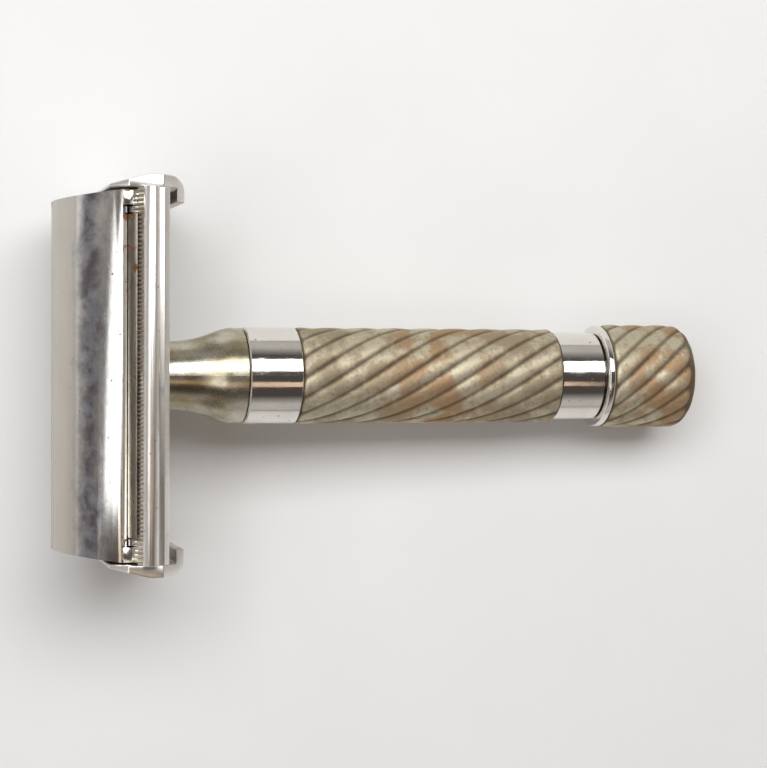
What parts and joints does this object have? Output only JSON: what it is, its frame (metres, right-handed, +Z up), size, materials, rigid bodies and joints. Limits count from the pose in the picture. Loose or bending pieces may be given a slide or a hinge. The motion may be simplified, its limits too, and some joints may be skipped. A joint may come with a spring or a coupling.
{
  "type": "safety razor",
  "caption": "Metal safety razor whose two curved doors open over a double-edged blade when the ribbed knob at the end of the handle is turned.",
  "frame": {"origin": "centre of the underside of the razor's box, as it lies on one side of its head and on its knob", "axes": "+X from the head to the knob, +Y along the head and the blade's cutting edges, +Z up; the handle slopes down 5.313 degrees towards the knob"},
  "size_m": [0.0808, 0.0464, 0.0258],
  "materials": {
    "head": "nickel plate, worn and lightly tarnished",
    "doors": "nickel plate, polished, with dull tarnish spots",
    "collars": "nickel plate, polished",
    "grip": "nickel plate, warm brown patina in the grooves",
    "blade": "thin ground steel, spotted with rust",
    "inner_brass": "plain brass",
    "inner_steel": "plain steel"
  },
  "bodies": {
    "body": {"guard_plate": "head", "right_end_plate": "head", "left_end_plate": "head", "blade_bed": "head", "blade_studs": "head", "razor_blade": "blade", "neck": "collars", "neck_bush": "inner_brass", "upper_collar": "collars", "barrel": "grip", "lower_collar": "collars", "handle_core": "inner_brass", "snap_ring": "inner_steel", "friction_washer": "inner_steel"},
    "knob": {"knob_shell": "grip", "knob_ring": "collars", "drive_nut": "inner_brass"},
    "stem": {"stem_rod": "inner_steel", "stem_key": "inner_steel", "carriage": "inner_steel", "stem_rivet": "inner_steel", "hinge_pins": "inner_steel"},
    "right_door": {"right_door": "doors"},
    "left_door": {"left_door": "doors"}
  },
  "joints": [
    {"name": "knob_turn", "type": "hinge", "parent": "body", "child": "knob", "pos_m": [0.03993, 0, 0.00634], "axis": [0.9957, 0, -0.0926], "range_deg": [0, 540]},
    {"name": "stem_slide", "type": "slide", "parent": "body", "child": "stem", "axis": [-0.9957, 0, 0.0926], "range_m": [0, 0.00305]},
    {"name": "right_door_swing", "type": "hinge", "parent": "stem", "child": "right_door", "pos_m": [-0.03036, 0, 0.02152], "axis": [0, 1, 0], "range_deg": [0, 80]},
    {"name": "left_door_swing", "type": "hinge", "parent": "stem", "child": "left_door", "pos_m": [-0.03195, 0, 0.00439], "axis": [0, -1, 0], "range_deg": [0, 80]}
  ],
  "couplings": [
    {"joint": "stem_slide", "follows": "knob_turn", "m_per_rad": 0.00031831},
    {"joint": "right_door_swing", "follows": "knob_turn", "ratio": 0.14444},
    {"joint": "left_door_swing", "follows": "knob_turn", "ratio": 0.14444}
  ]
}
